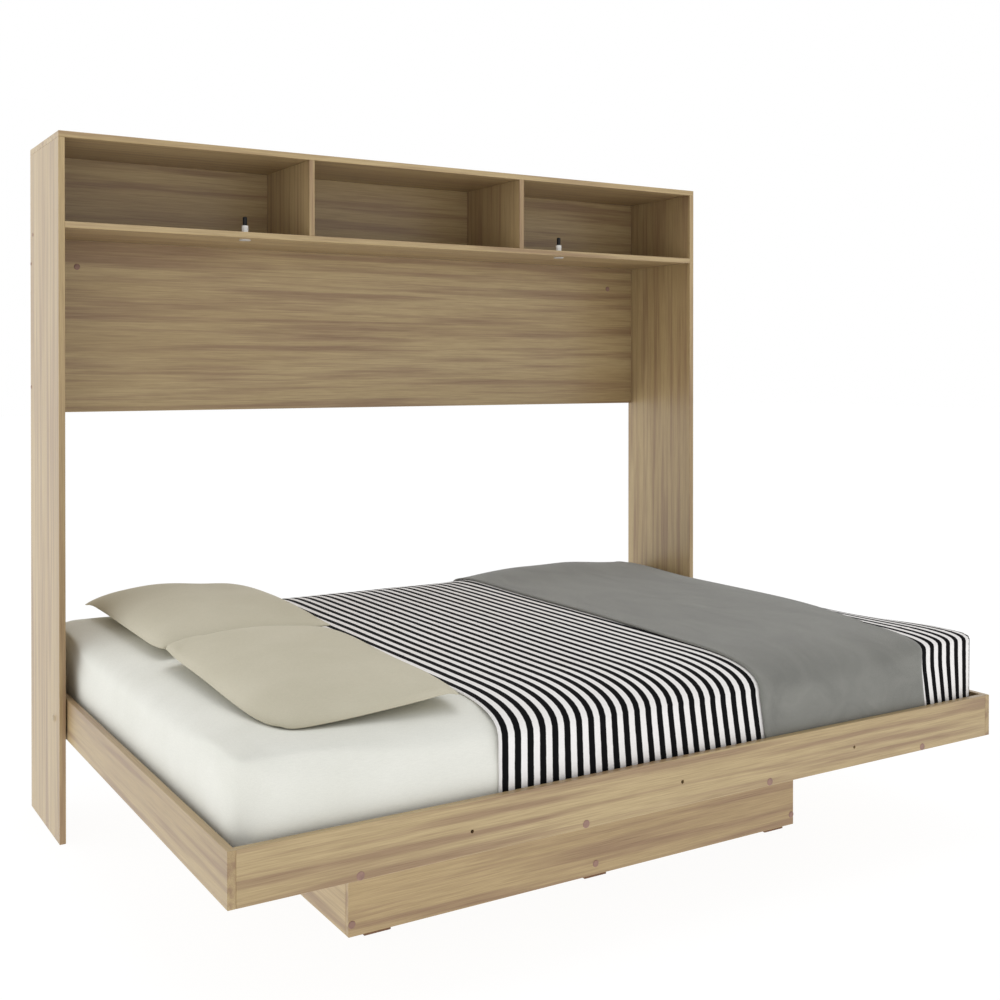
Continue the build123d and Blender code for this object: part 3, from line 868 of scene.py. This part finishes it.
def bed_fall(x, y):
    """How far the mattress top has fallen at a place, from the curve of its edge."""
    outs, falls, lifts = edge_profile(0, 0)[1:]
    v = y - middle_y
    out = np.maximum(np.abs(x) - core_x, np.abs(v) - core_y)
    out = np.clip(out, 0, EDGE_RUN * PILLOW_EDGE_SHARE)
    lift = SQUARE_LIFT * squareness(x, v) * np.interp(out, outs, lifts)
    return np.interp(out, outs, falls) - lift


def lay_pillow(mesh, shape):
    """Lays a filled pillow on the mattress, where it follows the curve of the bed's edge."""
    points = points_of(mesh) @ np.array(Euler((0, 0, shape["turn"])).to_matrix()).T
    points[:, :2] += shape["middle"]
    points[:, 2] += mattress_high.z + PILLOW_LIFT - points[:, 2].min()
    points[:, 2] -= shape["follow"] * bed_fall(points[:, 0], points[:, 1])
    set_points(mesh, points)


def make_pillow(node, shape, material):
    """One pillow with a sewn edge, swollen by simulation and laid at the head of the bed."""
    mesh = pillow_mesh(node + "_cover", shape)
    piece = new_piece(node + "_cover", mesh, material)
    simulate(piece, PILLOW_PRESSURE, PILLOW_FRAMES, PILLOW_SWELL)
    lay_pillow(mesh, shape)
    smooth(piece)
    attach(piece, "bed")
    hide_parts(node)
    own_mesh(piece)


def make_pillows():
    """The two pillows at the head."""
    linen = cotton("pillow_cotton", PILLOW_SHADE, PILLOW_LIGHT)
    for node, shape in PILLOWS.items():
        make_pillow(node, shape, linen)


# Caps over the wall fixings
def turned_cap(name):
    """A low round cap with a domed face towards -Y, its back at y = 0."""
    turns = [2 * math.pi * i / WALL_CAP_SEGMENTS for i in range(WALL_CAP_SEGMENTS)]
    work = bmesh.new()
    made = []
    for radius_share, height_share in WALL_CAP_RINGS:
        radius = radius_share * WALL_CAP_RADIUS
        y = -height_share * WALL_CAP_HEIGHT
        made.append([work.verts.new((radius * math.cos(a), y, radius * math.sin(a))) for a in turns])
    for inner, outer in zip(made[1:], made):
        for i in range(WALL_CAP_SEGMENTS):
            work.faces.new((outer[i - 1], outer[i], inner[i], inner[i - 1]))
    work.faces.new(made[0])
    work.faces.new(made[-1])
    bmesh.ops.recalc_face_normals(work, faces=work.faces[:])
    mesh = bpy.data.meshes.new(name)
    work.to_mesh(mesh)
    work.free()
    return mesh


def make_wall_caps(material):
    """Two low caps pressed over the wall fixings in the back panel."""
    fixing = next(mount for mount in frame["record"]["mounts"] if mount["name"] == "wall_fixing")
    offset = fixing["dims"]["spacing_x_mm"] / MM_PER_METRE / 2
    back_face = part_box("back_panel")[0].y
    for name, x in (("left_wall_cap", -offset), ("right_wall_cap", offset)):
        piece = new_piece(name, turned_cap(name), material)
        piece.location = (x, back_face, fixing["pos_m"][2])
        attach(piece, "cabinet")


# Studio
def aim(lamp, target):
    """Turns a lamp towards a point."""
    lamp.rotation_euler = (Vector(target) - lamp.location).to_track_quat("-Z", "Y").to_euler()


def make_lamp(name, place, power, size):
    """A soft square lamp aimed at the bed."""
    data = bpy.data.lights.new(name, "AREA")
    data.energy = power
    data.size = size
    lamp = bpy.data.objects.new(name, data)
    lamp.location = place
    bpy.context.scene.collection.objects.link(lamp)
    aim(lamp, LIGHT_AIM)


def seen_directly(tree):
    """1 on rays that show the background itself, in the picture, in metal or through glass."""
    path = add(tree, "ShaderNodeLightPath", {})
    shiny = math_node(tree, "MAXIMUM", path.outputs["Is Glossy Ray"], path.outputs["Is Transmission Ray"])
    return math_node(tree, "MAXIMUM", path.outputs["Is Camera Ray"], shiny)


def make_world():
    """White round the object, and a softer light on it."""
    world = bpy.data.worlds.new("studio")
    world.use_nodes = True
    tree = world.node_tree
    tree.nodes.clear()
    light = add(tree, "ShaderNodeBackground", {"Color": LIGHT_COLOUR, "Strength": AMBIENT})
    white = add(tree, "ShaderNodeBackground", {"Color": LIGHT_COLOUR, "Strength": 1.0})
    inputs = {0: seen_directly(tree), 1: light.outputs[0], 2: white.outputs[0]}
    shown = add(tree, "ShaderNodeMixShader", inputs)
    add(tree, "ShaderNodeOutputWorld", {0: shown.outputs[0]})
    bpy.context.scene.world = world


def make_floor():
    """A white floor that lights the object from below, fades into the background and keeps the shadow."""
    material, tree, shader = new_material("floor")
    tree.nodes.remove(shader)
    matt = add(tree, "ShaderNodeBsdfDiffuse", {"Color": FLOOR_COLOUR})
    seen = seen_directly(tree)
    strength = spread_over(tree, seen, 0.0, 1.0, FLOOR_LIGHT, FLOOR_SHOWN)
    white = add(tree, "ShaderNodeEmission", {"Color": LIGHT_COLOUR, "Strength": strength})
    share = spread_over(tree, seen, 0.0, 1.0, 1.0, FLOOR_WHITE)
    inputs = {0: share, 1: matt.outputs[0], 2: white.outputs[0]}
    mixed = add(tree, "ShaderNodeMixShader", inputs)
    tree.links.new(mixed.outputs[0], tree.nodes["Material Output"].inputs[0])
    half = FLOOR_SIZE / 2
    corners = [(-half, -half, 0), (half, -half, 0), (half, half, 0), (-half, half, 0)]
    mesh = bpy.data.meshes.new("floor")
    mesh.from_pydata(corners, [], [(0, 1, 2, 3)])
    new_piece("floor", mesh, material)


def make_camera():
    """The camera where the photograph was taken from."""
    data = bpy.data.cameras.new("camera")
    data.lens = CAMERA_LENS
    data.shift_y = CAMERA_SHIFT_Y
    camera = bpy.data.objects.new("camera", data)
    camera.location = CAMERA_PLACE
    camera.rotation_euler = (math.pi / 2 + CAMERA_PITCH, 0, CAMERA_TURN)
    bpy.context.scene.collection.objects.link(camera)
    bpy.context.scene.camera = camera


dress_boards()
cap_material = dress_hardware()
make_mattress()
make_spread()
make_throw()
make_pillows()
make_wall_caps(cap_material)
make_world()
make_floor()
make_lamp("key", KEY_PLACE, KEY_POWER, KEY_SIZE)
make_lamp("top", TOP_PLACE, TOP_POWER, TOP_SIZE)
make_camera()
bpy.context.scene.view_settings.view_transform = "Standard"
